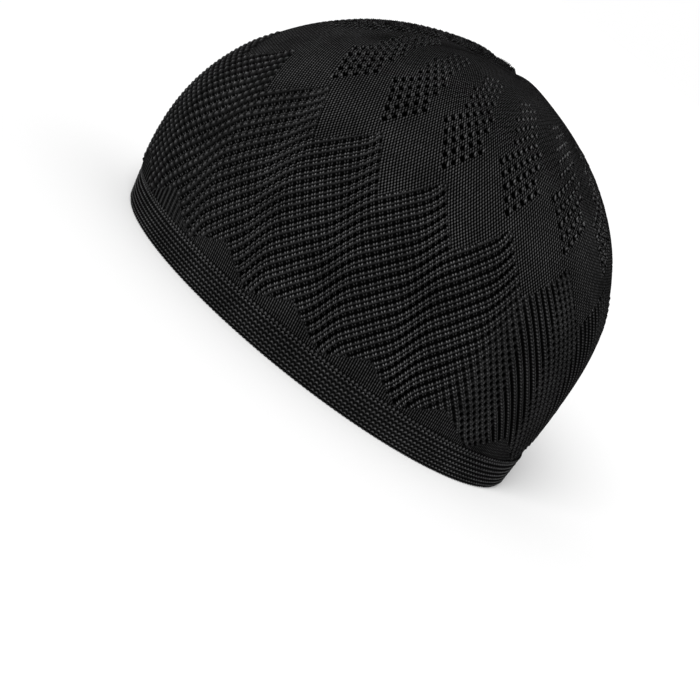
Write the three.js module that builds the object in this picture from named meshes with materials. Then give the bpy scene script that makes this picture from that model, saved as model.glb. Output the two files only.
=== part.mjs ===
// Knitted prayer cap: a deep hollow crown of slanted ribs under a plain top, linked to a folded
// double band. Sizes are millimetres. The cap stands on its rim, Z is up, the front of the head
// is towards -Y and the wearer's left is +X.

import * as THREE from "three";

// Form of the whole cap, measured over the rib crests
const RIM_HALF_LENGTH = 98;
const WIDTH_TO_LENGTH = 0.83;
const CAP_HEIGHT = 135;
const SHOULDER_FULLNESS = 3.06;
const DOME_ROUNDNESS = 1.85;
const BELLY_SWELL = 0.055;
const RIM_CENTRE_Y = 3.3;
const BELLY_LEANS_FORWARD = 2.46;
const BROW_LEANS_FORWARD = 1.62;

// Knit repeat: sectors round the head, and ribs in each sector
const SECTORS = 16;
const RIBS_PER_SECTOR = 7;
const RIBS = SECTORS * RIBS_PER_SECTOR;

// Band, folded double
const BAND_HEIGHT = 12.5;
const BAND_THICKNESS = 3.3;
const BAND_ROWS = 6;
const BAND_ROW_DEPTH = 0.45;
const BAND_FOLD_RADIUS = 0.7;
const BAND_COLUMNS = 72;

// Linking seam, a chain of stitches between band and crown
const SEAM_HEIGHT = 1.1;
const SEAM_PROUD = 0.5;
const JOIN_GAP = 0.3;

// Crown wall and its ribs
const CROWN_WALL = 2.4;
const RIB_DEPTH = 1.0;
const PLAIN_KNIT_DROP = 0.55;
const RIB_LEAN_PER_MM = 0.00112;
const CROWN_START = BAND_HEIGHT + SEAM_HEIGHT + 2 * JOIN_GAP;

// Saw-toothed edges of the rib zone, as distances along the fabric from the rim
const RIB_ZONE = { lowTip: 15, lowNotch: 23, highNotch: 80, highPeak: 98, fade: 3 };
const TOOTH_PHASE = 0.88;

// Gather that closes the crown, a little ahead of the highest point
const GATHER = { x: -5, y: -4, from: 112, depth: 1.8, radius: 9, folds: 6, foldDepth: 0.5 };

const knitColour = 0x17171a;

function ringAt(share) {
  const reach = Math.pow(1 - Math.pow(share, SHOULDER_FULLNESS), 1 / DOME_ROUNDNESS);
  const swell = 1 + BELLY_SWELL * Math.sin(Math.PI * share);
  const halfLength = RIM_HALF_LENGTH * reach * swell;
  const bellyLean = BELLY_LEANS_FORWARD * Math.sin(Math.PI * share);
  const browLean = BROW_LEANS_FORWARD * Math.sin(2 * Math.PI * share);
  return {
    halfLength,
    halfWidth: WIDTH_TO_LENGTH * halfLength,
    centreY: RIM_CENTRE_Y - bellyLean - browLean,
    height: CAP_HEIGHT * share,
  };
}

// Running totals, so that a distance along the fabric or round the head gives its place
function runningTotal(steps, pointAt) {
  const total = [0];
  for (let i = 1; i <= steps; i++) {
    const a = pointAt((i - 1) / steps);
    const b = pointAt(i / steps);
    total.push(total[i - 1] + Math.hypot(b[0] - a[0], b[1] - a[1]));
  }
  return total;
}

function placeInTotal(total, wanted) {
  let high = total.findIndex((value) => value >= wanted);
  if (high < 0) {
    high = total.length - 1;
  }
  if (high === 0) {
    return 0;
  }
  const span = total[high] - total[high - 1];
  return (high - 1 + (wanted - total[high - 1]) / span) / (total.length - 1);
}

const MEAN_OF_HALF_WIDTHS = (1 + WIDTH_TO_LENGTH) / 2;
const meridian = runningTotal(600, (t) => {
  const ring = ringAt(Math.sin((t * Math.PI) / 2));
  return [ring.halfLength * MEAN_OF_HALF_WIDTHS, ring.height];
});
const FABRIC_LENGTH = meridian[meridian.length - 1];
const oval = runningTotal(720, (t) => {
  const angle = 2 * Math.PI * t;
  return [WIDTH_TO_LENGTH * Math.sin(angle), -Math.cos(angle)];
});
const OVAL_LENGTH = oval[oval.length - 1];

function shareAt(distance) {
  return Math.sin((placeInTotal(meridian, distance) * Math.PI) / 2);
}

function angleAt(turn) {
  const whole = turn - Math.floor(turn);
  return 2 * Math.PI * placeInTotal(oval, whole * OVAL_LENGTH);
}

function smooth(low, high, value) {
  const t = Math.min(Math.max((value - low) / (high - low), 0), 1);
  return t * t * (3 - 2 * t);
}

// Height of the dome over a place in plan, found by halving
function shareOver(x, y) {
  let low = 0;
  let high = 1;
  for (let i = 0; i < 40; i++) {
    const middle = (low + high) / 2;
    const ring = ringAt(middle);
    const inside = Math.hypot(x / ring.halfWidth, (y - ring.centreY) / ring.halfLength) < 1;
    if (inside) {
      low = middle;
    } else {
      high = middle;
    }
  }
  return low;
}

// Place on the outer form. The rings close on the gather, not on the highest point.
function onForm(turn, distance) {
  const ring = ringAt(shareAt(distance));
  const angle = angleAt(turn);
  const pull = smooth(GATHER.from, FABRIC_LENGTH, distance);
  const x = ring.halfWidth * Math.sin(angle) + GATHER.x * pull;
  const y = ring.centreY - ring.halfLength * Math.cos(angle) + GATHER.y * pull;
  const height = pull > 0 ? CAP_HEIGHT * shareOver(x, y) : ring.height;
  return new THREE.Vector3(x, y, height);
}

function outwardAt(turn, distance) {
  const along = onForm(turn + 0.002, distance).sub(onForm(turn - 0.002, distance));
  const up = onForm(turn, distance + 0.4).sub(onForm(turn, distance - 0.4));
  return along.cross(up).normalize();
}

// 0 under the point of a tooth, 1 in the notch between two teeth
function toothShare(turn) {
  const place = turn * SECTORS - TOOTH_PHASE + 0.5;
  return 2 * Math.abs(place - Math.floor(place) - 0.5);
}

function ribShare(turn, distance) {
  const tooth = toothShare(turn);
  const low = RIB_ZONE.lowTip + (RIB_ZONE.lowNotch - RIB_ZONE.lowTip) * tooth;
  const high = RIB_ZONE.highPeak - (RIB_ZONE.highPeak - RIB_ZONE.highNotch) * tooth;
  const begun = smooth(low - RIB_ZONE.fade, low + RIB_ZONE.fade, distance);
  const ended = smooth(high - RIB_ZONE.fade, high + RIB_ZONE.fade, distance);
  return begun * (1 - ended);
}

function crownRelief(turn, distance, isGroove) {
  const ribbed = ribShare(turn, distance);
  const rib = isGroove ? -RIB_DEPTH * ribbed : 0;
  const plain = -PLAIN_KNIT_DROP * (1 - ribbed);
  const toCentre = (FABRIC_LENGTH - distance) / GATHER.radius;
  const dimple = -GATHER.depth * Math.exp(-toCentre * toCentre);
  const foldWave = Math.cos(2 * Math.PI * GATHER.folds * turn);
  const foldReach = toCentre * Math.exp(1 - toCentre);
  return rib + plain + dimple + GATHER.foldDepth * foldWave * foldReach;
}

// A closed surface is gathered ring by ring
class Shell {
  constructor() {
    this.points = [];
    this.faces = [];
  }

  ring(columns, pointAt) {
    const first = this.points.length / 3;
    const ring = [];
    for (let column = 0; column < columns; column++) {
      const point = pointAt(column / columns, column);
      this.points.push(point.x, point.y, point.z);
      ring.push(first + column);
    }
    return ring;
  }

  triangle(a, b, c, flipped) {
    this.faces.push(...(flipped ? [a, c, b] : [a, b, c]));
  }

  // The fine ring has a whole number of columns for each column of the coarse one
  join(fine, coarse, flipped) {
    const each = fine.length / coarse.length;
    const half = Math.ceil(each / 2);
    for (let k = 0; k < coarse.length; k++) {
      const near = coarse[k];
      const next = coarse[(k + 1) % coarse.length];
      for (let step = 0; step < each; step++) {
        const a = fine[k * each + step];
        const b = fine[(k * each + step + 1) % fine.length];
        this.triangle(a, b, step < half ? near : next, flipped);
      }
      this.triangle(fine[(k * each + half) % fine.length], next, near, flipped);
    }
  }

  fan(ring, tip, flipped) {
    ring.forEach((a, i) => this.triangle(a, ring[(i + 1) % ring.length], tip, flipped));
  }

  geometry() {
    const geometry = new THREE.BufferGeometry();
    geometry.setAttribute("position", new THREE.Float32BufferAttribute(this.points, 3));
    geometry.setIndex(this.faces);
    geometry.computeVertexNormals();
    return geometry;
  }
}

// Rows of the crown by distance along the fabric, and the columns that each stretch needs
const RIB_COLUMNS = 2 * RIBS;
const OUTER_ROWS = [
  { columns: RIB_COLUMNS, distances: [CROWN_START, 19, 25, 39, 53, 67, 79, 88, 97, 104] },
  { columns: RIBS, distances: [116, 129, 142] },
  { columns: RIBS / 2, distances: [153, 163, 171, 178, 183] },
];
const INNER_COLUMNS = RIBS / 2;
const INNER_DISTANCES = [CROWN_START, 38, 62, 82, 97, 111, 125, 139, 152, 163, 172, 180];

function crown() {
  const shell = new Shell();
  const leanAt = (distance) => RIB_LEAN_PER_MM * Math.min(distance, RIB_ZONE.highPeak);

  const pointAt = (turn, distance, offset) =>
    onForm(turn, distance).addScaledVector(outwardAt(turn, distance), offset);

  const outerRings = [];
  for (const stretch of OUTER_ROWS) {
    for (const distance of stretch.distances) {
      outerRings.push(
        shell.ring(stretch.columns, (share, column) => {
          const turn = share + leanAt(distance);
          const isGroove = stretch.columns === RIB_COLUMNS && column % 2 === 1;
          return pointAt(turn, distance, crownRelief(turn, distance, isGroove));
        }),
      );
    }
  }
  const innerRings = INNER_DISTANCES.map((distance) =>
    shell.ring(INNER_COLUMNS, (share) => {
      const turn = share + leanAt(distance);
      const folds = distance > GATHER.from ? crownRelief(turn, distance, false) : 0;
      return pointAt(turn, distance, folds - CROWN_WALL);
    }),
  );

  for (let i = 1; i < outerRings.length; i++) {
    shell.join(outerRings[i - 1], outerRings[i], false);
  }
  for (let i = 1; i < innerRings.length; i++) {
    shell.join(innerRings[i - 1], innerRings[i], true);
  }
  shell.join(outerRings[0], innerRings[0], true);

  const tip = onForm(0, FABRIC_LENGTH);
  tip.z -= GATHER.depth + PLAIN_KNIT_DROP;
  const [outerTip] = shell.ring(1, () => tip);
  shell.fan(outerRings.at(-1), outerTip, false);
  const [innerTip] = shell.ring(1, () => tip.clone().setZ(tip.z - CROWN_WALL));
  shell.fan(innerRings.at(-1), innerTip, true);
  return shell.geometry();
}

// A level hoop swept round the head from a closed section of { outset, height }
function hoop(section) {
  const shell = new Shell();
  const rings = section.map(({ outset, height }) => {
    const ring = ringAt(height / CAP_HEIGHT);
    return shell.ring(BAND_COLUMNS, (turn) => {
      const angle = angleAt(turn);
      return new THREE.Vector3(
        (ring.halfWidth + outset) * Math.sin(angle),
        ring.centreY - (ring.halfLength + outset) * Math.cos(angle),
        height,
      );
    });
  });
  rings.forEach((ring, i) => shell.join(ring, rings[(i + 1) % rings.length], false));
  return shell.geometry();
}

function band() {
  const rowPitch = (BAND_HEIGHT - 2 * BAND_FOLD_RADIUS) / BAND_ROWS;
  const section = [{ outset: -BAND_FOLD_RADIUS, height: 0 }];
  for (let row = 0; row < BAND_ROWS; row++) {
    const start = BAND_FOLD_RADIUS + row * rowPitch;
    section.push({ outset: -BAND_ROW_DEPTH, height: start });
    section.push({ outset: 0, height: start + rowPitch / 2 });
  }
  section.push({ outset: -BAND_ROW_DEPTH, height: BAND_HEIGHT - BAND_FOLD_RADIUS });
  section.push({ outset: -BAND_FOLD_RADIUS, height: BAND_HEIGHT });
  section.push({ outset: BAND_FOLD_RADIUS / 2 - BAND_THICKNESS, height: BAND_HEIGHT });
  section.push({ outset: -BAND_THICKNESS, height: BAND_HEIGHT - BAND_FOLD_RADIUS });
  section.push({ outset: -BAND_THICKNESS, height: BAND_FOLD_RADIUS });
  section.push({ outset: BAND_FOLD_RADIUS / 2 - BAND_THICKNESS, height: 0 });
  return hoop(section);
}

function linkingSeam() {
  const bottom = BAND_HEIGHT + JOIN_GAP;
  const middle = bottom + SEAM_HEIGHT / 2;
  const top = bottom + SEAM_HEIGHT;
  return hoop([
    { outset: 0, height: bottom },
    { outset: SEAM_PROUD, height: middle },
    { outset: 0, height: top },
    { outset: 0.4 - CROWN_WALL, height: top },
    { outset: -CROWN_WALL, height: middle },
    { outset: 0.4 - CROWN_WALL, height: bottom },
  ]);
}

function knitPiece(name, geometry) {
  const material = new THREE.MeshStandardMaterial({
    color: knitColour,
    roughness: 0.85,
    metalness: 0,
  });
  const mesh = new THREE.Mesh(geometry, material);
  mesh.name = name;
  return mesh;
}

const group = new THREE.Group();
group.add(knitPiece("crown", crown()));
group.add(knitPiece("band", band()));
group.add(knitPiece("linking_seam", linkingSeam()));

export default group;
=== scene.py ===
# Knitted prayer cap, dressed in the order in which it is knitted: the folded band, the linking chain,
# the ribbed sides, the plain and laced top, and the inside. Fabric sizes are millimetres, and every
# mesh is turned into metres. Z is up, the brow is towards -Y, and +X is on the left as it is worn.
import math

import bpy
import numpy as np
from mathutils import Matrix


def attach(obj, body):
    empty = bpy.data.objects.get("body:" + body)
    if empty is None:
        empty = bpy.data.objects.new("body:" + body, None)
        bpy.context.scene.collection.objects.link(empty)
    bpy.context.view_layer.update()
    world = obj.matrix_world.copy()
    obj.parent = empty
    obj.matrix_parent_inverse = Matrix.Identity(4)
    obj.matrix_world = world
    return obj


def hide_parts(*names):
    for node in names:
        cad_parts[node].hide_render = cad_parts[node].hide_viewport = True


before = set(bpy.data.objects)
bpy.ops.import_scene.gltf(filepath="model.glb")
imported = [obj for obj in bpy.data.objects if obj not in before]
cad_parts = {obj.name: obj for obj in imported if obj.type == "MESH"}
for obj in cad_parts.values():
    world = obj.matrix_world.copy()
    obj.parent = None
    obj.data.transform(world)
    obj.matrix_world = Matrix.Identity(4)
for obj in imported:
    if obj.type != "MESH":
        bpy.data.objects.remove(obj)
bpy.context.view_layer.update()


# Band
# A strip of plain knit in black yarn, folded double over its lower edge, on which the cap stands.
# Seven rows of 304 arched stitches lie level round the outside, closer together towards the fold.
MM = 0.001
RIM_HALF_LENGTH = 98.0
WIDTH_TO_LENGTH = 0.83
CAP_HEIGHT = 135.0
SHOULDER_FULLNESS = 3.06
DOME_ROUNDNESS = 1.85
BELLY_SWELL = 0.055
RIM_CENTRE_Y = 3.3
BELLY_LEANS_FORWARD = 2.46
BROW_LEANS_FORWARD = 1.62

BAND_TOP = 12.4
BAND_THICKNESS = 3.3
BAND_LIP = 0.3
BAND_LIP_RISE = 0.35
BAND_STEP = 0.38
FACE_STARTS = 0.4
FACE_STOPS = 0.2
LINING_STARTS = 0.8
LINING_POINTS = 9
FOLD_POINTS = 13
LIP_POINTS = 6
BAND_LOOPS = 304
BAND_LOOP_WIDTH = 1.86
BAND_COLUMNS = 4 * BAND_LOOPS
FIRST_ROW = 1.35
ROW_PITCH = 1.8
FOLD_ROW_PITCH = 1.5
ROW_GROWTH = 0.045
ARCH_RISE = 0.45
ARCH_THICKNESS = 0.5
ARCH_LIT_THICKNESS = 0.29
LOOP_PROUD = 0.75
LOOP_SUNK = 0.45
LOOP_SIDES_PROUD = 0.3
LINING_SUNK = 0.15
LOOP_SIDES_LIT = 0.15
LINING_LIT = 0.15
FACE_LIT = 0.46
GAP_LIT = 0.015
LEAST_LIT = 0.005


def ring_at(share):
    """Half length and centre of the oval at a share of the cap's height."""
    reach = np.maximum(1 - share ** SHOULDER_FULLNESS, 0) ** (1 / DOME_ROUNDNESS)
    half_length = RIM_HALF_LENGTH * reach * (1 + BELLY_SWELL * np.sin(np.pi * share))
    belly = BELLY_LEANS_FORWARD * np.sin(np.pi * share)
    brow = BROW_LEANS_FORWARD * np.sin(2 * np.pi * share)
    return half_length, RIM_CENTRE_Y - belly - brow


def running_total(x, y):
    """Length along a line of points, from its start to each point."""
    steps = np.hypot(np.diff(x), np.diff(y))
    return np.concatenate([[0.0], np.cumsum(steps)])


OVAL_ANGLES = np.linspace(0, 2 * np.pi, 1441)
oval_total = running_total(WIDTH_TO_LENGTH * np.sin(OVAL_ANGLES), -np.cos(OVAL_ANGLES))


def angle_at(turn):
    """Angle of the oval at a share of the way round it, from the front over the left."""
    return np.interp(np.mod(turn, 1.0), oval_total / oval_total[-1], OVAL_ANGLES)


def nearest(value):
    """What is left of a value after its nearest whole number, from -0.5 to 0.5."""
    return value - np.round(value)


def bell(offset, width):
    """1 in the middle, falling softly to 0 beyond the width."""
    return np.exp(-(offset / width) ** 2)


def swell(count, low, high):
    """A wave that is high at whole numbers and low half way between them."""
    return (high + low) / 2 + (high - low) / 2 * np.cos(2 * np.pi * count)


def hoop_points(turns, outset, height):
    """Points round the cap, a row for each height."""
    half_length, centre = ring_at(height / CAP_HEIGHT)
    angle = angle_at(turns)
    x = (WIDTH_TO_LENGTH * half_length + outset) * np.sin(angle)
    y = centre - (half_length + outset) * np.cos(angle)
    return np.stack([x, y, height + 0 * angle], axis=-1)


def ring_turns(columns):
    """Shares of the way round for one closed row. The last point lies on the first."""
    return (np.arange(columns + 1) / columns)[None, :]


def ring_normals(points):
    """Normals of rows that close round the cap. They face out where the rows climb."""
    closed = points[:, :-1]
    along = np.roll(closed, -1, axis=1) - np.roll(closed, 1, axis=1)
    normals = np.cross(along, np.gradient(closed, axis=0))
    normals /= np.maximum(np.linalg.norm(normals, axis=-1, keepdims=True), 1e-9)
    return np.concatenate([normals, normals[:, :1]], axis=1)


def knit_mesh(name, points, normals, marks, quads, triangles=()):
    """A smooth mesh from arrays in millimetres, with vector marks on its points for the yarn."""
    mesh = bpy.data.meshes.new(name)
    triangles = np.reshape(triangles, (-1, 3)).astype(int)
    corners = np.concatenate([quads.ravel(), triangles.ravel()]).astype(np.int32)
    after_quads = len(quads) * 4 + np.arange(len(triangles)) * 3
    starts = np.concatenate([np.arange(len(quads)) * 4, after_quads]).astype(np.int32)
    mesh.vertices.add(points.size // 3)
    mesh.vertices.foreach_set("co", (points * MM).astype(np.float32).ravel())
    mesh.loops.add(len(corners))
    mesh.loops.foreach_set("vertex_index", corners)
    mesh.polygons.add(len(starts))
    mesh.polygons.foreach_set("loop_start", starts)
    mesh.update(calc_edges=True)
    mesh.shade_smooth()
    for mark, values in marks.items():
        layer = mesh.attributes.new(mark, "FLOAT_VECTOR", "POINT")
        layer.data.foreach_set("vector", values.astype(np.float32).ravel())
    mesh.normals_split_custom_set_from_vertices(normals.reshape(-1, 3))
    piece = bpy.data.objects.new(name, mesh)
    bpy.context.scene.collection.objects.link(piece)
    return piece


def sheet_quads(rows, columns):
    """Corners of the quads between neighbouring rows and columns of points."""
    row = np.arange(rows - 1)[:, None] * columns
    across = np.arange(columns - 1)
    corners = [row + across, row + across + 1, row + columns + across + 1, row + columns + across]
    return np.stack(corners, axis=-1).reshape(-1, 4)


def knit_sheet(name, points, normals, marks):
    return knit_mesh(name, points, normals, marks, sheet_quads(*points.shape[:2]))


def mark_of(x, y, z):
    """Three numbers for each point of a sheet."""
    return np.stack(np.broadcast_arrays(x, y, z), axis=-1)


class Amount:
    """An amount that varies over the yarn, such as a place in a stitch or how far it is lit."""

    def __init__(self, tree, socket):
        self.tree = tree
        self.socket = socket

    def worked(self, operation, first, second=0.0):
        return node_amount(self.tree, "ShaderNodeMath", {0: first, 1: second}, operation=operation)

    def __add__(self, other):
        return self.worked("ADD", self, other)

    def __sub__(self, other):
        return self.worked("SUBTRACT", self, other)

    def __rsub__(self, other):
        return self.worked("SUBTRACT", other, self)

    def __mul__(self, other):
        return self.worked("MULTIPLY", self, other)

    def __truediv__(self, other):
        return self.worked("DIVIDE", self, other)

    def __neg__(self):
        return self * -1.0

    def at_least(self, other):
        return self.worked("MAXIMUM", self, other)

    def without_sign(self):
        return self.worked("ABSOLUTE", self)

    def root(self):
        return self.worked("SQRT", self)

    def nearest(self):
        """What is left after the nearest whole number, from -0.5 to 0.5."""
        return self - self.worked("ROUND", self)

    def wave(self):
        """1 at whole numbers, -1 half way between them."""
        return self.worked("COSINE", self * (2 * math.pi))

    def bell(self, width):
        """1 in the middle, falling softly to 0 beyond the width."""
        share = self / width
        return self.worked("EXPONENT", -(share * share))

    def ramp(self, low, high, at_low, at_high):
        """From one level to another as the amount goes from low to high, and level beyond."""
        limits = {"Value": self, "From Min": low, "From Max": high, "To Min": at_low, "To Max": at_high}
        return node_amount(self.tree, "ShaderNodeMapRange", limits)

    def full_ramp(self, at_none, at_full):
        return self.ramp(0.0, 1.0, at_none, at_full)


def node_amount(tree, kind, inputs, output=0, **settings):
    """One output of a new node, with its settings made and its inputs linked or set."""
    node = tree.nodes.new(kind)
    for key, value in settings.items():
        setattr(node, key, value)
    for place, value in inputs.items():
        if isinstance(value, Amount):
            tree.links.new(value.socket, node.inputs[place])
        else:
            node.inputs[place].default_value = value
    return Amount(tree, node.outputs[output])


def read_mark(tree, name):
    """The three numbers of a mark, at each place on the mesh."""
    vector = node_amount(tree, "ShaderNodeAttribute", {}, "Vector", attribute_name=name)
    first = node_amount(tree, "ShaderNodeSeparateXYZ", {0: vector})
    return [Amount(tree, part) for part in first.socket.node.outputs]


# Painted light: the yarn's colour runs from painted shade in the gaps, darker than the black yarn itself,
# to a painted highlight on the loops.
GAP_SHADE_BLACK = (0.0006, 0.0006, 0.0006, 1)
LIT_YARN = (0.14, 0.14, 0.142, 1)
BLOTCHES_PER_METRE = 60.0
PLIES_PER_METRE = 1500.0
PLY_HEIGHT = 0.2
STITCH_HEIGHT_IN_METRES = 0.0003
LIGHT_FADES_FROM = 0.6
LIGHT_GONE_AT = 1.3
YARN_ROUGHNESS = 0.6


def black_yarn(name, stitches):
    """Black yarn whose colour carries painted light: a painted highlight on the share of each stitch that
    faces out, and painted shade in the gaps between.
    """
    material = bpy.data.materials.new(name)
    material.use_nodes = True
    tree = material.node_tree
    shader = tree.nodes["Principled BSDF"]
    lit = stitches(tree)
    depth = read_mark(tree, "relief")[0]

    def noise(scale, detail):
        return node_amount(tree, "ShaderNodeTexNoise", {"Vector": spot, "Scale": scale, "Detail": detail})

    spot = node_amount(tree, "ShaderNodeTexCoord", {}, "Object")
    blotch = noise(BLOTCHES_PER_METRE, 3.0)
    ply = noise(PLIES_PER_METRE, 2.0)
    worn = blotch.ramp(0.3, 0.7, 0.75, 1.25) * ply.ramp(0.3, 0.7, 0.5, 1.5)
    # Painted shade: the colour darkens where the mesh lies deep, in holes and grooves.
    shade = lit * worn * depth.ramp(LIGHT_FADES_FROM, LIGHT_GONE_AT, 1.0, 0.0)

    colours = {0: shade, 6: GAP_SHADE_BLACK, 7: LIT_YARN}
    colour = node_amount(tree, "ShaderNodeMix", colours, 2, data_type="RGBA", clamp_factor=False)
    tree.links.new(colour.socket, shader.inputs["Base Color"])
    stitch_height = {"Height": lit + ply * PLY_HEIGHT, "Strength": 1.0, "Distance": STITCH_HEIGHT_IN_METRES}
    raised = node_amount(tree, "ShaderNodeBump", stitch_height)
    tree.links.new(raised.socket, shader.inputs["Normal"])
    shader.inputs["Roughness"].default_value = YARN_ROUGHNESS
    shader.inputs["Specular IOR Level"].default_value = 0.0
    return material


def dress(piece, material, node):
    """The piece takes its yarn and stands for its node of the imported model."""
    piece.data.materials.append(material)
    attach(piece, "root")
    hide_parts(node)


def band_stitch_light(tree):
    """Painted highlights on arches, with painted shade in the gap under each, in level rows, and on the
    lining inside.
    """
    loop, row, outside = read_mark(tree, "knit")
    across = loop.nearest() * BAND_LOOP_WIDTH
    up = row.nearest() * ROW_PITCH
    arch = (up - (ARCH_RISE - across * across)).bell(ARCH_LIT_THICKNESS)
    crest = loop.wave().ramp(-1.0, 1.0, LOOP_SIDES_LIT, 1.0)
    # Painted shade on the lining inside, and a brighter painted highlight on the outer face.
    face = outside.full_ramp(LINING_LIT, FACE_LIT)
    return arch * crest * face + face * GAP_LIT + LEAST_LIT


# Section of the band: down inside, round the fold, up outside and over the top
half = BAND_THICKNESS / 2
inner_heights = np.linspace(BAND_TOP - BAND_LIP, half + LINING_STARTS, LINING_POINTS)
fold_angles = np.radians(np.linspace(180, 360, FOLD_POINTS))
outer_heights = np.arange(half + FACE_STARTS, BAND_TOP - FACE_STOPS, BAND_STEP)
lip_angles = np.radians(np.linspace(20, 160, LIP_POINTS))
band_outset = np.concatenate([
    np.full(len(inner_heights), -BAND_THICKNESS),
    half * np.cos(fold_angles) - half,
    np.zeros(len(outer_heights)),
    half * np.cos(lip_angles) - half,
])
band_height = np.concatenate([
    inner_heights,
    half * np.sin(fold_angles) + half,
    outer_heights,
    BAND_LIP_RISE * np.sin(lip_angles) + BAND_TOP - BAND_LIP,
])
band_outset = np.append(band_outset, band_outset[0])[:, None]
band_height = np.append(band_height, band_height[0])[:, None]

band_turns = ring_turns(BAND_COLUMNS)
band_loops = band_turns * BAND_LOOPS
band_rows = np.log1p(ROW_GROWTH * (band_height - FIRST_ROW) / FOLD_ROW_PITCH) / ROW_GROWTH
across_loop = nearest(band_loops) * BAND_LOOP_WIDTH
up_loop = nearest(band_rows) * ROW_PITCH
arch = bell(up_loop - ARCH_RISE + across_loop ** 2, ARCH_THICKNESS)
arch = arch * swell(band_loops, LOOP_SIDES_PROUD, 1.0)
is_outside = band_outset > -half
band_relief = np.where(is_outside, LOOP_PROUD * arch - LOOP_SUNK, -LINING_SUNK)
band_points = hoop_points(band_turns, band_outset, band_height)
band_points += ring_normals(band_points) * band_relief[..., None]
band_points[..., 2] = np.maximum(band_points[..., 2], 0.0)
band_marks = {
    "knit": mark_of(band_loops, band_rows, is_outside * 1.0),
    "relief": mark_of(np.maximum(-band_relief, 0), 0, 0),
}
band = knit_sheet("band_knit", band_points, ring_normals(band_points), band_marks)
band_yarn = black_yarn("black_band_yarn", band_stitch_light)
dress(band, band_yarn, "band")


# Linking chain
# One row of larger loops of the band's yarn, worked through the open stitches of band and crown to
# join them.
CHAIN_BOTTOM = 12.45
CHAIN_TOP = 14.3
CHAIN_DEPTH = 2.3
CHAIN_FULLNESS = 0.45
CHAIN_PROUD = 0.3
CHAIN_SUNK = 0.05
CHAIN_SWAY = 0.12
CHAIN_GAP_PROUD = -0.2
CHAIN_ARCH_PLACE = 0.2
CHAIN_ARCH_REACH = 0.4
CHAIN_FACE_LIT = 0.7
CHAIN_SHADE = 0.3
CHAIN_PROUD_SHADE = -0.6

chain_angles = np.radians(np.linspace(-180, 180, 13))[:, None]
chain_bulge = np.sign(np.cos(chain_angles)) * np.abs(np.cos(chain_angles)) ** CHAIN_FULLNESS
chain_outset = CHAIN_DEPTH / 2 * (chain_bulge - 1)
chain_middle = (CHAIN_BOTTOM + CHAIN_TOP) / 2
chain_height = chain_middle + (CHAIN_TOP - CHAIN_BOTTOM) / 2 * np.sin(chain_angles)
chain_turns = ring_turns(BAND_COLUMNS)
chain_loops = chain_turns * BAND_LOOPS
faces_out = np.clip(np.cos(chain_angles), 0, 1)
chain_sway = swell(chain_loops, -CHAIN_SWAY, CHAIN_SWAY) * faces_out
chain_relief = CHAIN_PROUD * faces_out * swell(chain_loops, CHAIN_GAP_PROUD, 1.0) - CHAIN_SUNK
chain_points = hoop_points(chain_turns, chain_outset, chain_height + chain_sway)
chain_points += ring_normals(chain_points) * chain_relief[..., None]
chain_rows = CHAIN_ARCH_PLACE + CHAIN_ARCH_REACH * np.sin(chain_angles)
# Painted light: the chain's outward-facing side is painted brighter than its other sides.
chain_marks = {
    "knit": mark_of(chain_loops, chain_rows, CHAIN_FACE_LIT * faces_out),
    "relief": mark_of(CHAIN_SHADE + CHAIN_PROUD_SHADE * chain_relief, 0, 0),
}
chain = knit_sheet("linking_chain", chain_points, ring_normals(chain_points), chain_marks)
dress(chain, band_yarn, "linking_seam")


# Ribbed sides of the crown
# Sixteen repeats of seven ribs in the same black yarn, three wales to a rib, lean towards the back.
# They are knotted ropes round the brow, cords of paired loops at the sides and upright chains over
# the nape. A column of open holes climbs through them to each tooth of the upper edge.
SECTORS = 16
RIBS_PER_SECTOR = 7
RIBS = SECTORS * RIBS_PER_SECTOR
WALES_PER_RIB = 3
WALES = WALES_PER_RIB * RIBS
WALE_WIDTH = 1.45
RIB_WIDTH = WALES_PER_RIB * WALE_WIDTH
FIRST_RIB = 0.55
PAIR_HEIGHT = 2.485
PAIR_LENGTH = 3.2
PAIR_STEP = 149 / RIBS
PAIR_SWING = 0.12
COLUMNS_PER_WALE = 3
SIDE_COLUMNS = COLUMNS_PER_WALE * WALES
SIDE_STEP = 0.36

# Places up the fabric, in millimetres from the rim, and places round the cap, in sectors
CROWN_START = 14.3
RIB_END = 96.0
LOW_TIP = 14.3
LOW_NOTCH = 24.0
HIGH_NOTCH = 75.0
HIGH_PEAK = 94.0
EDGE_SOFTNESS = 0.8
TOOTH_PHASE = 0.95
COLUMN_AFTER_TOOTH = 0.07
COLUMN_FALL = 84.0
COLUMN_HALF_WIDTH = 0.16
NAPE_COLUMN_EXTRA = 0.1
COLUMN_EDGE = (-0.03, 0.04)
LEAN_BEGINS = (14, 20)
LEAN_ENDS = (86, 98)
CROWDING_BEGINS = (14, 24)
CROWDING_ENDS = (84, 104)
RIB_LEAN = 0.00105
PLAIN_LEAN = 0.0004
CROWDING = 0.2
BROW_FADES = (1.8, 3.6)
NAPE_BEGINS = (6.1, 6.7)

GATHER_X = -9.0
GATHER_Y = -6.0
GATHER_PULLS = (85.0, 150.0)
GATHER_DEPTH = 1.8
GATHER_RADIUS = 9.0
GATHER_FOLDS = 6
GATHER_FOLD_HEIGHT = 0.5


def smooth(low, high, value):
    """0 up to low, 1 from high on, and a soft step between."""
    t = np.clip((value - low) / (high - low), 0, 1)
    return t * t * (3 - 2 * t)


def blend(first, second, share):
    return first + share * (second - first)


meridian_shares = np.sin(np.linspace(0, np.pi / 2, 1201))
meridian_reach = ring_at(meridian_shares)[0] * (1 + WIDTH_TO_LENGTH) / 2
meridian = running_total(meridian_reach, CAP_HEIGHT * meridian_shares)
FABRIC_LENGTH = meridian[-1]


HALVINGS = 34
CROWDING_ROUNDS = 24


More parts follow.
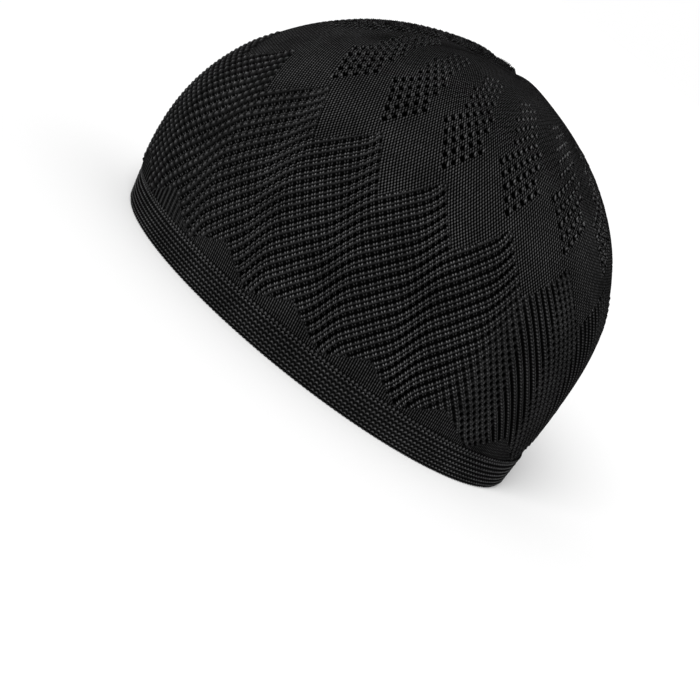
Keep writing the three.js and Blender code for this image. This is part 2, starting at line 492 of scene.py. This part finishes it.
def share_over(x, y):
    """Share of the height of the dome over a place in plan, found by halving."""
    low = np.zeros_like(x)
    high = np.ones_like(x)
    for _ in range(HALVINGS):
        middle = (low + high) / 2
        half_length, centre = ring_at(middle)
        inside = (x / WIDTH_TO_LENGTH) ** 2 + (y - centre) ** 2 < half_length ** 2
        low = np.where(inside, middle, low)
        high = np.where(inside, high, middle)
    return low


def on_form(turns, distances):
    """Points of the outer form. Its rings close on the gather, ahead of the highest point."""
    share = np.interp(distances, meridian, meridian_shares)
    half_length, centre = ring_at(share)
    angle = angle_at(turns)
    pull = smooth(*GATHER_PULLS, distances)
    x = WIDTH_TO_LENGTH * half_length * np.sin(angle) + GATHER_X * pull
    y = centre - half_length * np.cos(angle) + GATHER_Y * pull
    height = CAP_HEIGHT * share + 0 * angle
    moved = np.broadcast_to(pull > 0, x.shape)
    height[moved] = CAP_HEIGHT * share_over(x[moved], y[moved])
    return np.stack([x, y, height], axis=-1)


lean_steps = np.linspace(0, 200, 2001)
lean_rates = RIB_LEAN * smooth(*LEAN_BEGINS, lean_steps) * (1 - smooth(*LEAN_ENDS, lean_steps))
lean_rates += PLAIN_LEAN * smooth(*LEAN_ENDS, lean_steps)
lean_total = np.concatenate([[0.0], np.cumsum(lean_rates[1:] * np.diff(lean_steps))])


def column_phase(sectors, distances):
    """Place across the nearest column of holes, in sectors from its middle."""
    fall = (HIGH_PEAK - distances) / COLUMN_FALL
    return nearest(sectors - TOOTH_PHASE - COLUMN_AFTER_TOOTH - fall)


def sectors_at(ribs, distances):
    """Sectors round the cap of each rib. The ribs stand closer and steeper in the columns of holes."""
    straight = ribs / RIBS_PER_SECTOR + SECTORS * np.interp(distances, lean_steps, lean_total)
    crowding = CROWDING * smooth(*CROWDING_BEGINS, distances) * (1 - smooth(*CROWDING_ENDS, distances))
    sectors = straight
    for _ in range(CROWDING_ROUNDS):
        phase = 2 * np.pi * column_phase(sectors, distances)
        sectors = straight - crowding * (np.sin(phase) + np.sin(2 * phase) / 4) / (2 * np.pi)
    return sectors


def rib_share(sectors, distances):
    """1 in the ribbed zone between its two saw-toothed edges, 0 outside."""
    tooth = 2 * np.abs(nearest(sectors - TOOTH_PHASE))
    above_low = distances - blend(LOW_TIP, LOW_NOTCH, tooth)
    above_high = distances - blend(HIGH_PEAK, HIGH_NOTCH, tooth)
    begun = smooth(-EDGE_SOFTNESS, EDGE_SOFTNESS, above_low)
    return begun * (1 - smooth(-EDGE_SOFTNESS, EDGE_SOFTNESS, above_high))


def pairs_at(ribs, sectors, distances):
    """Pairs of loops counted along a rib. Whole numbers lie at the middles of the pairs."""
    swing = PAIR_SWING * np.sin(2 * np.pi * column_phase(sectors, distances))
    return distances / PAIR_HEIGHT + PAIR_STEP * ribs - swing


def from_front(sectors):
    """Sectors from the middle of the front, up to 8 at the middle of the back."""
    return np.abs(SECTORS * nearest(sectors / SECTORS))


def nape_share(sectors):
    """1 over the nape, where the ribs open out and the wales stand up as chains, 0 elsewhere."""
    return smooth(*NAPE_BEGINS, from_front(sectors))


def brow_share(sectors):
    """1 round the brow, where the ribs are thick knotted ropes, 0 from the sides backwards."""
    return 1 - smooth(*BROW_FADES, from_front(sectors))


# Strands of a rib: place across it in wales, width and height in millimetres. The raised ones swell
# and shrink along the rib, between two shares of their height.
LOW_CORD = (-0.1, 0.7, 0.35)
HIGH_CORD = (1.15, 0.8, 0.5)
SUNK_WALE = (2.3, 0.75, -0.55)
SUNK_WALE_RISE = (2.3, 0.75, 0.2)
CORD_SWELLS = (0.65, 1.35)
ROPE = (0.75, 1.25, 0.95)
ROPE_GAP = (2.25, 0.7, -0.8)
ROPE_SWELLS = (0.7, 1.3)

# Holes between the ribs, and chains and honeycomb over the nape
HOLE_PLACE = 2.25
HOLE_PITCH = 0.85 * PAIR_LENGTH
HOLE_DEPTH = 0.15
OPEN_HOLE_EXTRA_DEPTH = 1.4
HOLE_RADIUS = 0.6
OPEN_HOLE_EXTRA_RADIUS = 0.42
NAPE_LOOP_PROUD = 0.7
NAPE_LOOP_WIDTH = 0.27
NAPE_SUNK = 0.4
COMB_PROUD = 0.1
COMB_HOLE_DEPTH = 1.4
COMB_HOLE_RADIUS = 0.75


def strand_relief(wale, strand):
    place, width, height = strand
    return height * bell(RIB_WIDTH * nearest((wale - place) / WALES_PER_RIB), width)


def dimple(distance, radius):
    """1 within a round hole, with steep sides, 0 outside."""
    return np.exp(-(distance / radius) ** 4)


def nape_relief(wale, pairs, openness):
    """Chains of loops, and a honeycomb of six-sided cells where the holes are open."""
    chain = NAPE_LOOP_PROUD * bell(nearest(pairs), NAPE_LOOP_WIDTH) - NAPE_SUNK
    up_cell = nearest((wale + pairs - 0.5) / 2)
    down_cell = nearest((wale - pairs + 0.5) / 2)
    from_cell = np.hypot((up_cell + down_cell) * WALE_WIDTH, (up_cell - down_cell) * HOLE_PITCH)
    comb = COMB_PROUD - COMB_HOLE_DEPTH * dimple(from_cell, COMB_HOLE_RADIUS)
    return blend(chain, comb, openness)


def rib_relief(wale, pairs, sectors, distances):
    """Height of the ribs all round, and how far their holes are open."""
    nape = nape_share(sectors)
    half_width = COLUMN_HALF_WIDTH + NAPE_COLUMN_EXTRA * nape
    from_column = np.abs(column_phase(sectors, distances))
    openness = 1 - smooth(*COLUMN_EDGE, from_column - half_width)

    cords = strand_relief(wale, LOW_CORD) + strand_relief(wale, HIGH_CORD)
    cords = cords * swell(pairs, *CORD_SWELLS) + strand_relief(wale, SUNK_WALE)
    cords = cords + openness * strand_relief(wale, SUNK_WALE_RISE)
    ropes = strand_relief(wale, ROPE) * swell(pairs, *ROPE_SWELLS) + strand_relief(wale, ROPE_GAP)
    relief = blend(cords, ropes, brow_share(sectors))

    across_hole = RIB_WIDTH * nearest((wale - HOLE_PLACE) / WALES_PER_RIB)
    from_hole = np.hypot(across_hole, nearest(pairs - 0.5) * HOLE_PITCH)
    hole_depth = HOLE_DEPTH + OPEN_HOLE_EXTRA_DEPTH * openness
    relief = relief - hole_depth * dimple(from_hole, HOLE_RADIUS + OPEN_HOLE_EXTRA_RADIUS * openness)
    return blend(relief, nape_relief(wale, pairs, openness), nape), openness


# Lace above the teeth, charted row by row from the tip of a kite to its top: first hole, holes
KITE_CHART = ((0, 5), (0, 5), (0, 6), (0, 7), (0, 7), (3, 5), (4, 5), (5, 5), (7, 4), (8, 3))
KITE_PHASE = 0.762
KITE_TIP_ACROSS = 1.43
KITE_TIP_DISTANCE = 98.3
EYELET_ACROSS = 1.99
EYELET_ALONG = 2.91
ROW_ACROSS = -2.43
ROW_ALONG = 3.41
ROW_CLOSING = -0.146
EYELET_PITCH_ALONG = 2.6
EYELET_ROW_ALONG = 3.0
EYELET_RADIUS = 1.0
EYELET_DEPTH = 1.6
EYELET_RIM_RADIUS = 1.7
EYELET_RIM_WIDTH = 0.6
EYELET_RIM_PROUD = 0.25
BELOW_TIP = 4
NO_LACE_WITHIN = 2.2
PLAIN_SUNK = 0.45
BROW_PLAIN_PROUD = 0.75
BROW_PLAIN_FADES = (100, 125)
LACE_LOOPS = 388
LACE_TILT = 15
LACE_LEAN = 0.04
LACE_COURSE = 2.04

# Small knots over the brow, in a wedge that widens towards the gather, with a furrow beside them
KNOTS_BEGIN = (96.0, 130.0)
KNOTS_END = (176.0, 186.0)
KNOTS_ASIDE = 1.2
KNOTS_WIDEN = 0.03
KNOTS_WIDEN_FROM = 100
KNOTS_SPREAD = (152.0, 168.0)
KNOTS_SPREAD_ASIDE = 2
KNOTS_EDGE = (-0.2, 0.15)
KNOT_PROUD = 1.3
KNOT_GROUND_SUNK = 0.2
KNOT_LENGTH = 0.28
KNOT_SIDES_PROUD = 0.1
KNOT_LIT = 1.2
KNOT_GROUND_SHADE = 0.5
FURROW_DEPTH = 0.5
FURROW_ASIDE = 0.4
FURROW_WIDTH = 0.25

# Where the brow's coarse lines end and the rows of the top begin
BROW_LINES_FADE = (96, 104)
TOP_ROWS_BEGIN = (112, 124)


def kite_place(sectors, distances):
    """Holes along the row and rows up, counted from the first hole of the nearest kite."""
    half_length = ring_at(np.interp(distances, meridian, meridian_shares))[0]
    sector_width = np.pi * half_length * (1 + WIDTH_TO_LENGTH) / SECTORS
    x = nearest(sectors - KITE_PHASE) * sector_width - KITE_TIP_ACROSS
    y = distances - KITE_TIP_DISTANCE
    square = -ROW_ACROSS * ROW_CLOSING / EYELET_ACROSS
    single = -ROW_ACROSS * EYELET_ALONG / EYELET_ACROSS + ROW_ALONG + ROW_CLOSING * x / EYELET_ACROSS
    constant = EYELET_ALONG * x / EYELET_ACROSS - y
    root = np.sqrt(np.maximum(single ** 2 - 4 * square * constant, 0))
    rows = (root - single) / (2 * square)
    holes = (x - ROW_ACROSS * rows) / EYELET_ACROSS
    return holes, rows


def is_charted(holes, rows):
    first = np.array([row[0] for row in KITE_CHART] + [0])
    count = np.array([row[1] for row in KITE_CHART] + [0])
    row = np.round(rows).astype(int)
    row = np.where((row < 0) | (row >= len(KITE_CHART)), len(KITE_CHART), row)
    hole = np.round(holes)
    return (hole >= first[row]) & (hole < first[row] + count[row])


def lace_relief(sectors, distances):
    """Height of the eyelets of the kites, their places, and 1 where the fabric is laced."""
    holes, rows = kite_place(sectors, distances)
    kite_middle = sectors - nearest(sectors - KITE_PHASE)
    beside_brow = from_front(kite_middle) > NO_LACE_WITHIN
    laced = is_charted(holes, rows) & (distances > KITE_TIP_DISTANCE - BELOW_TIP) & beside_brow
    across = EYELET_ACROSS * nearest(holes) + ROW_ACROSS * nearest(rows)
    along = EYELET_PITCH_ALONG * nearest(holes) + EYELET_ROW_ALONG * nearest(rows)
    from_eyelet = np.hypot(across, along)
    eyelet = EYELET_RIM_PROUD * bell(from_eyelet - EYELET_RIM_RADIUS, EYELET_RIM_WIDTH)
    eyelet = eyelet - EYELET_DEPTH * dimple(from_eyelet, EYELET_RADIUS)
    return laced * eyelet, holes, rows, laced * 1.0


def brow_knots(sectors, distances):
    """How far the loops crowd into knots over the brow, and how deep the furrow beside them is."""
    reach = KNOTS_ASIDE + KNOTS_WIDEN * (distances - KNOTS_WIDEN_FROM)
    reach = reach + KNOTS_SPREAD_ASIDE * smooth(*KNOTS_SPREAD, distances)
    beside = from_front(sectors) - reach
    zone = smooth(*KNOTS_BEGIN, distances) * (1 - smooth(*KNOTS_END, distances))
    return zone * (1 - smooth(*KNOTS_EDGE, beside)), zone * bell(beside - FURROW_ASIDE, FURROW_WIDTH)


def gather_sag(turns, distances):
    """The dimple of the gather and the small folds that run into it."""
    to_middle = (FABRIC_LENGTH - distances) / GATHER_RADIUS
    folds = GATHER_FOLD_HEIGHT * np.cos(2 * np.pi * GATHER_FOLDS * turns)
    return folds * to_middle * np.exp(1 - to_middle) - GATHER_DEPTH * np.exp(-to_middle ** 2)


def crown_sheet(columns, distances):
    """Points, normals and marks of closed rows of the crown's outside."""
    turns = ring_turns(columns)
    distances = distances[:, None]
    ribs = turns * RIBS
    wale = WALES_PER_RIB * (ribs - FIRST_RIB)
    sectors = sectors_at(ribs, distances)
    pairs = pairs_at(ribs, sectors, distances)
    ribbed = rib_share(sectors, distances)
    unribbed = 1 - ribbed
    rib_height, openness = rib_relief(wale, pairs, sectors, distances)
    eyelets, holes, rows, laced = lace_relief(sectors, distances)
    knots, furrow = brow_knots(sectors, distances)
    knots = knots * (1 - laced)
    knot = bell(nearest(pairs), KNOT_LENGTH) * swell(ribs, KNOT_SIDES_PROUD, 1.0)
    brow = brow_share(sectors)

    brow_plain = BROW_PLAIN_PROUD * brow * (1 - smooth(*BROW_PLAIN_FADES, distances))
    plain = eyelets - PLAIN_SUNK + (brow_plain - FURROW_DEPTH * furrow) * (1 - laced)
    plain = plain + knots * (KNOT_PROUD * knot - KNOT_GROUND_SUNK)
    relief = blend(plain, rib_height, ribbed)
    base = on_form(sectors / SECTORS, distances)
    points = base + ring_normals(base) * (relief + gather_sag(turns, distances))[..., None]

    lined = (distances < (LOW_NOTCH + HIGH_NOTCH) / 2) * unribbed
    lace_loops = LACE_LOOPS * sectors / SECTORS + LACE_LEAN * distances
    lace_courses = distances / LACE_COURSE - LACE_TILT * sectors / SECTORS
    nape_or_top = ribbed * nape_share(sectors) + smooth(*TOP_ROWS_BEGIN, distances)
    brow_below_top = brow * (1 - smooth(*BROW_LINES_FADE, distances))
    # In the ribs this is how far the holes are open. On the plain top it carries painted shade on the
    # ground between the knots, and a painted highlight on the knots.
    open_or_knot_light = ribbed * openness + unribbed * knots * (KNOT_GROUND_SHADE - KNOT_LIT * knot)
    marks = {
        "knit": mark_of(wale, pairs, ribbed),
        "plain": mark_of(lace_loops, lace_courses, lined),
        "lace": mark_of(holes, rows, laced * unribbed),
        "relief": mark_of(np.maximum(-relief, 0), nape_or_top - brow_below_top, open_or_knot_light),
    }
    return points, ring_normals(points), marks


# Legs of the loops, in millimetres, and how far each kind of stitch is lit at its brightest by its painted
# highlight
LEG_COSINE = 0.87
LEG_SINE = 0.5
PAIR_LEGS = {"width": 0.21, "length": 0.29, "spread": 0.57}
NAPE_LEGS = {"width": 0.24, "length": 0.5, "spread": 0.5}
EYELET_LEGS = {"width": 0.22, "length": 0.4, "spread": 0.6}
EYELET_LEGS_ACROSS = 3.4
EYELET_LEGS_ALONG = 3.5
SUNK_WALE_LIT = 0.24
OPEN_WALE_LIT = 0.5
LOW_CORD_LIT = 0.8
CORDS_LIT = 0.1
OPEN_CORDS_LIT = 0.16
BETWEEN_PAIRS_LIT = 0.015
ROPE_KNOTS_LIT = 0.45
ROPE_LIT = 0.12
ROPE_SCALES_LIT = 0.03
NAPE_LEGS_LIT = 0.34
NAPE_GROUND_LIT = 0.03
COMB_LEGS_LIT = 0.26
COMB_WALLS_LIT = 0.06
COMB_WALLS_FROM = 1.2
NET_LIT = 0.32
NOTCH_BEADS_LIT = (0.1, 0.26)
BROW_LINES_LIT = 0.18
EYELET_LEGS_LIT = 0.8
TOP_ROWS_DARK = 0.15
TOP_ROW_WIDTH = 0.13


def loop_legs(across, along, width, length, spread):
    """The two legs of one V, in millimetres. They spread where across falls."""
    aside = along.without_sign() - spread
    over_leg = aside * LEG_COSINE + across * LEG_SINE
    down_leg = aside * LEG_SINE - across * LEG_COSINE
    return over_leg.bell(width) * down_leg.bell(length)


def strand_light(wale, place, width):
    """1 along one strand of each rib, at its place across the rib in wales."""
    return (((wale - place) / WALES_PER_RIB).nearest() * RIB_WIDTH).bell(width)


def pair_light(wale, pairs):
    """A bright pair of loops on every wale."""
    return loop_legs(wale.nearest() * WALE_WIDTH, pairs.nearest() * PAIR_LENGTH, **PAIR_LEGS)


def cord_light(wale, pairs, openness):
    """At the sides: pairs of loops, brightest on the raised wales, over two dim strands."""
    raised = ((wale - 0.5) / WALES_PER_RIB).wave().ramp(-1.0, 0.4, SUNK_WALE_LIT, 1.0)
    cords = strand_light(wale, place=1.35, width=0.36)
    cords = cords + strand_light(wale, place=0.25, width=0.28) * LOW_CORD_LIT
    off_wale = wale.nearest() * WALE_WIDTH - 0.15
    off_gap = (pairs - 0.5).nearest() * PAIR_LENGTH
    between = off_gap.bell(0.6) * off_wale.bell(0.36) * raised
    bright = pair_light(wale, pairs) * raised.at_least(openness * OPEN_WALE_LIT)
    dim = cords * openness.full_ramp(CORDS_LIT, OPEN_CORDS_LIT)
    return bright + dim + between * openness.full_ramp(BETWEEN_PAIRS_LIT, 0.0)


def rope_light(wale, pairs):
    """Round the brow: a light spot on each knot of the ropes, and pairs of loops between them."""
    knot = strand_light(wale, place=0.8, width=0.45) * (pairs.nearest() * PAIR_LENGTH).bell(0.4)
    sunk = pair_light(wale, pairs) * strand_light(wale, place=2.1, width=0.7)
    scales = pairs.wave().ramp(-1.0, 0.2, ROPE_SCALES_LIT, ROPE_LIT)
    return (knot + sunk) * ROPE_KNOTS_LIT + strand_light(wale, place=0.75, width=1.1) * scales


def nape_light(wale, pairs, openness):
    """Over the nape: legs of the chains, and of the walls of the honeycomb round its dark holes."""
    off_pair = pairs.nearest() * PAIR_LENGTH
    legs = loop_legs(wale.nearest() * WALE_WIDTH, off_pair, **NAPE_LEGS)
    chains = legs * NAPE_LEGS_LIT + off_pair.bell(0.8) * NAPE_GROUND_LIT
    gap = pairs - 0.5
    up_cell = ((wale + gap) * 0.5).nearest()
    down_cell = ((wale - gap) * 0.5).nearest()
    across = (up_cell + down_cell) * WALE_WIDTH
    along = (up_cell - down_cell) * HOLE_PITCH
    from_cell = (across * across + along * along).root()
    walls = from_cell.ramp(COMB_HOLE_RADIUS, COMB_WALLS_FROM, 0.0, COMB_WALLS_LIT)
    comb = walls + legs * COMB_LEGS_LIT
    return comb * openness + chains * (1.0 - openness)


def net_light(loop, course):
    """Plain knit: small loops that lean both ways."""
    rising = (loop + course).wave()
    falling = (loop - course).wave()
    return (rising * -0.55 + falling * -0.45).ramp(-0.05, 0.8, 0.0, NET_LIT)


def notch_light(loop, course, brow):
    """Notches under the ribs: fine beaded lines, and coarse plain ones round the brow."""
    beaded = (course * 1.5).wave().ramp(-1.0, 1.0, *NOTCH_BEADS_LIT)
    fine = (loop * 1.5).wave().ramp(-0.2, 1.0, 0.0, 1.0)
    coarse = (loop * 0.5).wave().ramp(-0.2, 1.0, 0.0, BROW_LINES_LIT)
    return fine * beaded * (1.0 - brow) + coarse * brow


def eyelet_light(hole, row):
    """Lace: a bright pair of legs between neighbouring eyelets of a row."""
    across = row.nearest() * EYELET_LEGS_ACROSS
    along = (hole + 0.5).nearest() * EYELET_LEGS_ALONG
    return loop_legs(across, along, **EYELET_LEGS) * EYELET_LEGS_LIT


def crown_stitch_light(tree):
    """Painted light in the yarn's colour: how far the yarn is lit in ribs, in plain knit, in the lined
    notches and in the lace.
    """
    wale, pairs, ribbed = read_mark(tree, "knit")
    loop, course, lined = read_mark(tree, "plain")
    hole, row, laced = read_mark(tree, "lace")
    nape_or_brow, open_or_knot_light = read_mark(tree, "relief")[1:]
    nape = nape_or_brow.at_least(0.0)
    brow = (-nape_or_brow).at_least(0.0)
    # Where there are no ribs, openness is the painted shade between the knots and knot is their painted
    # highlight.
    openness = open_or_knot_light.at_least(0.0)
    knot = (-open_or_knot_light).at_least(0.0)

    sides = cord_light(wale, pairs, openness) * (1.0 - (nape + brow))
    ribs = nape_light(wale, pairs, openness) * nape + rope_light(wale, pairs) * brow + sides
    net = net_light(loop, course)
    top_rows = (row * 2.0).nearest().bell(TOP_ROW_WIDTH) * nape * -TOP_ROWS_DARK
    knots = knot * (pair_light(wale, pairs) + 0.1) * 0.5
    plain = (net * (1.0 - openness) + top_rows + knots) * (1.0 - (lined + laced))
    unribbed = plain + notch_light(loop, course, brow) * lined + (eyelet_light(hole, row) + net) * laced
    return (ribs * ribbed + unribbed * (1.0 - ribbed)).at_least(0.0)


crown_yarn = black_yarn("black_crown_yarn", crown_stitch_light)
side_distances = np.arange(CROWN_START, RIB_END, SIDE_STEP)
side_points, side_normals, side_marks = crown_sheet(SIDE_COLUMNS, side_distances)
quarter = SIDE_COLUMNS // 4
for number, side in enumerate(("front_left", "back_left", "back_right", "front_right")):
    span = slice(number * quarter, (number + 1) * quarter + 1)
    panel_marks = {mark: values[:, span] for mark, values in side_marks.items()}
    panel = knit_sheet("crown_" + side, side_points[:, span], side_normals[:, span], panel_marks)
    dress(panel, crown_yarn, "crown")


# Plain and laced top of the crown
# Plain knit of the same yarn closes over the teeth of the ribs, with a kite of eyelets over each
# tooth and small knots over the brow. Its wales run together into the gather, where it is drawn shut
# a little ahead of the highest point.
SHOULDER_END = 125.0
SHOULDER_STEP = 0.385
TOP_FIRST_STEP = 0.4
TOP_STEP = 0.5
LAST_RING = 0.4
TOP_COLUMNS_PER_WALE = 2
TOP_COLUMNS = TOP_COLUMNS_PER_WALE * WALES

shoulder_distances = np.arange(side_distances[-1], SHOULDER_END, SHOULDER_STEP)
shoulder_points, shoulder_normals, shoulder_marks = crown_sheet(SIDE_COLUMNS, shoulder_distances)
shoulder = knit_sheet("crown_shoulder", shoulder_points, shoulder_normals, shoulder_marks)
dress(shoulder, crown_yarn, "crown")

top_start = shoulder_distances[-1] + TOP_FIRST_STEP
top_distances = np.arange(top_start, FABRIC_LENGTH - LAST_RING - 0.3, TOP_STEP)
top_distances = np.append(top_distances, FABRIC_LENGTH - LAST_RING)
top_points, top_normals, top_marks = crown_sheet(TOP_COLUMNS, top_distances)

# At each wale four points of the shoulder's last row, 0 to 3, meet three of the first row, 4 to 6
STEP_DOWN = np.array([(0, 1, 4), (1, 5, 4), (1, 2, 5), (2, 6, 5), (2, 3, 6)])
wale_starts = np.arange(WALES)[:, None]
fine = wale_starts * COLUMNS_PER_WALE + np.arange(COLUMNS_PER_WALE + 1)
coarse = wale_starts * TOP_COLUMNS_PER_WALE + np.arange(TOP_COLUMNS_PER_WALE + 1) + SIDE_COLUMNS + 1
step_down = np.concatenate([fine, coarse], axis=1)[:, STEP_DOWN].reshape(-1, 3)


def fan_to(tip, columns):
    """Triangles from the last closed row of points to the tip, which follows it."""
    last_row = tip - columns - 1 + np.arange(columns)
    return np.stack([last_row, last_row + 1, np.full(columns, tip)], axis=-1)


def with_ends(first_row, sheet, last_point):
    return np.concatenate([first_row, sheet.reshape(-1, 3), [last_point]])


crown_top = knit_mesh(
    "crown_top",
    with_ends(shoulder_points[-1], top_points, top_points[-1].mean(axis=0)),
    with_ends(shoulder_normals[-1], top_normals, [0.0, 0.0, 1.0]),
    {mark: with_ends(shoulder_marks[mark][-1], top_marks[mark], [0.0, 0.0, 0.0]) for mark in top_marks},
    SIDE_COLUMNS + 1 + sheet_quads(*top_points.shape[:2]),
    np.concatenate([step_down, fan_to(SIDE_COLUMNS + 1 + top_points.size // 3, TOP_COLUMNS)]),
)
dress(crown_top, crown_yarn, "crown")


# Inside of the crown
# The wrong side of the same knit, flat and close, with its lower edge turned in behind the chain.
WALL = 2.3
TURNED_IN = 0.3
TURNED_IN_OFFSETS = (-0.2, -0.8, -1.6)
INSIDE_STEP = 2.4

turned_in = [CROWN_START, CROWN_START - TURNED_IN, CROWN_START - TURNED_IN]
inside_distances = np.append(turned_in, np.arange(CROWN_START, FABRIC_LENGTH - 1, INSIDE_STEP))
inside_offsets = np.full(len(inside_distances), -WALL)
inside_offsets[:len(turned_in)] = TURNED_IN_OFFSETS
inside_turns = ring_turns(WALES)
inside_base = on_form(inside_turns, inside_distances[:, None])
inside_normals = ring_normals(inside_base)
inside_normals[:4] = inside_normals[4]
inside_points = inside_base + inside_normals * inside_offsets[:, None, None]
inside_points[..., 2] -= GATHER_DEPTH * bell(FABRIC_LENGTH - inside_distances, GATHER_RADIUS)[:, None]
inside_knit = mark_of(LACE_LOOPS * inside_turns, inside_distances[:, None] / LACE_COURSE, 0)
nothing_before = np.empty((0, 3))
crown_inside = knit_mesh(
    "crown_inside",
    with_ends(nothing_before, inside_points, inside_points[-1].mean(axis=0)),
    with_ends(nothing_before, -inside_normals, [0.0, 0.0, -1.0]),
    {"plain": with_ends(nothing_before, inside_knit, [0.0, 0.0, 0.0])},
    sheet_quads(*inside_points.shape[:2])[:, ::-1],
    fan_to(inside_points.size // 3, WALES)[:, [1, 0, 2]],
)
dress(crown_inside, crown_yarn, "crown")


# Floor, light and camera
# A pale floor under soft studio light from the camera's side and above. The camera looks at the
# left of the cap and a little behind it, and is rolled, so that the cap looks tipped.
FLOOR_RADIUS = 6.0
FLOOR_SIDES = 64
FLOOR_GREY = 0.92
FLOOR_ROUGHNESS = 0.9
FLOOR_GLOSS = 0.1

floor_angles = np.arange(FLOOR_SIDES) * 2 * math.pi / FLOOR_SIDES
floor_rim = [(FLOOR_RADIUS * math.cos(a), FLOOR_RADIUS * math.sin(a), 0.0) for a in floor_angles]
floor_mesh = bpy.data.meshes.new("floor")
floor_mesh.from_pydata(floor_rim, [], [list(range(FLOOR_SIDES))])
floor = bpy.data.objects.new("floor", floor_mesh)
bpy.context.scene.collection.objects.link(floor)
floor_paint = bpy.data.materials.new("pale_floor")
floor_paint.use_nodes = True
floor_shader = floor_paint.node_tree.nodes["Principled BSDF"]
floor_shader.inputs["Base Color"].default_value = (FLOOR_GREY, FLOOR_GREY, FLOOR_GREY, 1)
floor_shader.inputs["Roughness"].default_value = FLOOR_ROUGHNESS
floor_shader.inputs["Specular IOR Level"].default_value = FLOOR_GLOSS
floor.data.materials.append(floor_paint)

ROOM_LIGHT = 0.55
WALL_BRIGHTNESS = 1.0

world = bpy.data.worlds.new("studio")
world.use_nodes = True
bpy.context.scene.world = world
room = world.node_tree.nodes["Background"]
seen_directly = node_amount(world.node_tree, "ShaderNodeLightPath", {}, "Is Camera Ray")
room_strength = seen_directly.full_ramp(ROOM_LIGHT, WALL_BRIGHTNESS)
room.inputs["Color"].default_value = (1, 1, 1, 1)
world.node_tree.links.new(room_strength.socket, room.inputs["Strength"])

CAMERA_AZIMUTH = math.radians(108.0)
CAMERA_HEIGHT_ANGLE = math.radians(13.2)
CAMERA_ROLL = math.radians(37.3)
CAMERA_DISTANCE = 0.8
CAMERA_AIM = np.array([0.0074, 0.0217, 0.0059])
CAMERA_LENS = 101.36
CAMERA_SENSOR = 36.0

back = np.array([
    math.sin(CAMERA_AZIMUTH) * math.cos(CAMERA_HEIGHT_ANGLE),
    -math.cos(CAMERA_AZIMUTH) * math.cos(CAMERA_HEIGHT_ANGLE),
    math.sin(CAMERA_HEIGHT_ANGLE),
])
level_right = np.cross(-back, [0, 0, 1])
level_right /= np.linalg.norm(level_right)
level_up = np.cross(level_right, -back)
right = math.cos(CAMERA_ROLL) * level_right + math.sin(CAMERA_ROLL) * level_up
up = math.cos(CAMERA_ROLL) * level_up - math.sin(CAMERA_ROLL) * level_right


def place_in_scene(name, data, right, up, back, place):
    """A camera or light at a place, looking against back."""
    thing = bpy.data.objects.new(name, data)
    turned = np.eye(4)
    turned[:3] = np.stack([right, up, back, place], axis=-1)
    thing.matrix_world = Matrix([list(row) for row in turned])
    bpy.context.scene.collection.objects.link(thing)
    return thing


lens = bpy.data.cameras.new("camera")
lens.lens = CAMERA_LENS
lens.sensor_width = CAMERA_SENSOR
camera = place_in_scene("camera", lens, right, up, back, CAMERA_AIM + CAMERA_DISTANCE * back)
bpy.context.scene.camera = camera

SOFTBOX_SPREAD = math.radians(40.0)
SOFTBOX_POWER = 3.2
SOFTBOX_DISTANCE = 1.6
CAP_MIDDLE = np.array([0.0, 0.0, 0.07])

toward_softbox = back + 0.5 * up + 0.1 * right
toward_softbox /= np.linalg.norm(toward_softbox)
softbox_right = np.cross([0.0, 1.0, 0.1], toward_softbox)
softbox_right /= np.linalg.norm(softbox_right)
softbox_up = np.cross(toward_softbox, softbox_right)
softbox = bpy.data.lights.new("wide_softbox", "SUN")
softbox.angle = SOFTBOX_SPREAD
softbox.energy = SOFTBOX_POWER
softbox_place = CAP_MIDDLE + SOFTBOX_DISTANCE * toward_softbox
place_in_scene("wide_softbox", softbox, softbox_right, softbox_up, toward_softbox, softbox_place)
bpy.context.scene.view_settings.view_transform = "Standard"
